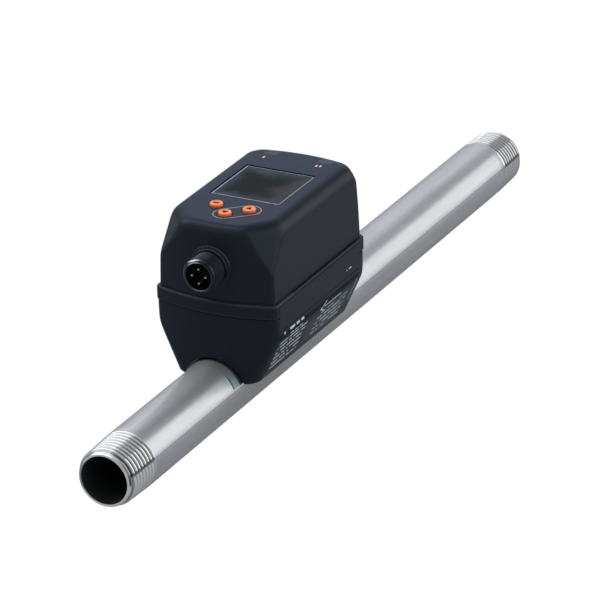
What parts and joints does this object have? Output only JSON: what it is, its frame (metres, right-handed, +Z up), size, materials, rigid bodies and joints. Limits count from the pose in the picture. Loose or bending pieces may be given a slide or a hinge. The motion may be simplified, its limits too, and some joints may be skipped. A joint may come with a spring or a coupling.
{
  "type": "inline gas flow meter",
  "caption": "Inline thermal gas flow meter: a stainless pipe with male pipe threads carries a moulded head with a display, push-buttons, status lights and a round screw connector.",
  "frame": {"origin": "centre of the pipe's outlet end face, the end nearer to the head", "axes": "+Y along the pipe's axis from the outlet end to the inlet end, +Z up through the head, +X to the right when looking along +Y"},
  "size_m": [0.0453, 0.3, 0.071],
  "materials": {
    "tube_steel": "fine ground stainless steel",
    "boss_steel": "turned stainless steel",
    "saddle_steel": "thin polished stainless sheet",
    "probe_steel": "turned stainless steel",
    "header_glass": "fused glass",
    "lead_gold": "gold plated",
    "seal_rubber": "matte black rubber",
    "screw_steel": "zinc plated",
    "nut_brass": "turned brass",
    "lower_plastic": "fine moulded texture, satin",
    "cover_plastic": "fine moulded texture, satin",
    "window_glass": "dark tinted pane",
    "module_plastic": "dark display",
    "board_green": "solder mask",
    "switch_plastic": "moulded",
    "led_plastic": "clear lens",
    "guide_plastic": "smoked translucent",
    "link_film": "flexible circuit",
    "connector_nickel": "nickel plated",
    "insert_plastic": "moulded",
    "pin_gold": "gold plated",
    "label_film": "satin printed film",
    "button_orange": "satin silicone"
  },
  "bodies": {
    "meter": {"measuring_tube": "tube_steel", "sensor_boss": "boss_steel", "tube_saddle": "saddle_steel", "probe_body": "probe_steel", "heated_sensor": "probe_steel", "reference_sensor": "probe_steel", "probe_header": "header_glass", "probe_leads": "lead_gold", "probe_seal": "seal_rubber", "probe_screws": "screw_steel", "head_nut": "nut_brass", "lower_housing": "lower_plastic", "housing_seal": "seal_rubber", "upper_housing": "cover_plastic", "display_window": "window_glass", "display_module": "module_plastic", "display_board": "board_green", "switches": "switch_plastic", "indicator_leds": "led_plastic", "light_guide_left": "guide_plastic", "light_guide_right": "guide_plastic", "main_board": "board_green", "board_screws": "screw_steel", "board_link": "link_film", "connector_link": "link_film", "connector_shell": "connector_nickel", "connector_insert": "insert_plastic", "connector_pins": "pin_gold", "connector_seal": "seal_rubber", "connector_nut": "connector_nickel", "connector_board": "board_green", "side_label": "label_film"},
    "enter_key": {"enter_button": "button_orange"},
    "up_key": {"up_button": "button_orange"},
    "down_key": {"down_button": "button_orange"}
  },
  "joints": [
    {"name": "enter_press", "type": "slide", "parent": "meter", "child": "enter_key", "axis": [0, 0, -1], "range_m": [0, 0.0005], "stiffness_N_per_m": 1000, "springref_m": -0.0005},
    {"name": "up_press", "type": "slide", "parent": "meter", "child": "up_key", "axis": [0, 0, -1], "range_m": [0, 0.0005], "stiffness_N_per_m": 1000, "springref_m": -0.0005},
    {"name": "down_press", "type": "slide", "parent": "meter", "child": "down_key", "axis": [0, 0, -1], "range_m": [0, 0.0005], "stiffness_N_per_m": 1000, "springref_m": -0.0005}
  ]
}
